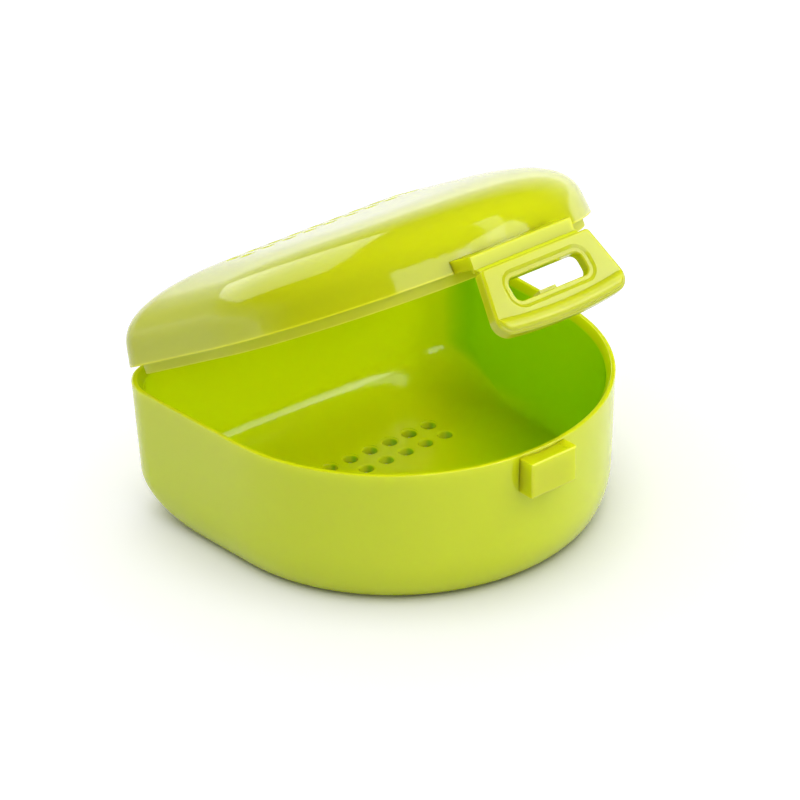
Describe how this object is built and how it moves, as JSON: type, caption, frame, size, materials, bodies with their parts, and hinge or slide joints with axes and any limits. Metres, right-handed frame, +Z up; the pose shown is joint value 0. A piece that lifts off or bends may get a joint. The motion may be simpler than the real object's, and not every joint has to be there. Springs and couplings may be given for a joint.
{
  "type": "denture case",
  "caption": "D-shaped denture case with a bevelled rim, a domed hinged lid, rows of vent holes and a windowed front latch tab.",
  "frame": {"origin": "on the flat underside of the base, at the middle of the width and of the depth from back wall to nose", "axes": "+X across the case, +Y towards the back wall with the hinge straps, +Z up from the underside"},
  "size_m": [0.0892, 0.0909, 0.0751],
  "materials": {
    "case_plastic": "glossy, slightly translucent lime green polypropylene",
    "film_plastic": "thin film of the same plastic, a little paler where it bends"
  },
  "bodies": {
    "base": {"base_shell": "case_plastic", "catch_block": "case_plastic", "hinge_strap_left": "film_plastic", "hinge_strap_right": "film_plastic"},
    "lid": {"lid_shell": "case_plastic", "latch_bar": "case_plastic", "latch_film_hinge": "film_plastic"},
    "latch": {"latch_tab": "case_plastic"}
  },
  "joints": [
    {"name": "lid_hinge", "type": "hinge", "parent": "base", "child": "lid", "pos_m": [0, 0.04116, 0.03106], "axis": [-1, 0, 0], "range_deg": [-28.28, 151.72], "deforming": ["hinge_strap_left", "hinge_strap_right"]},
    {"name": "latch_hinge", "type": "hinge", "parent": "lid", "child": "latch", "pos_m": [0, -0.03577, 0.0708], "axis": [-1, 0, 0], "range_deg": [-17.35, 90], "deforming": ["latch_film_hinge"]}
  ]
}
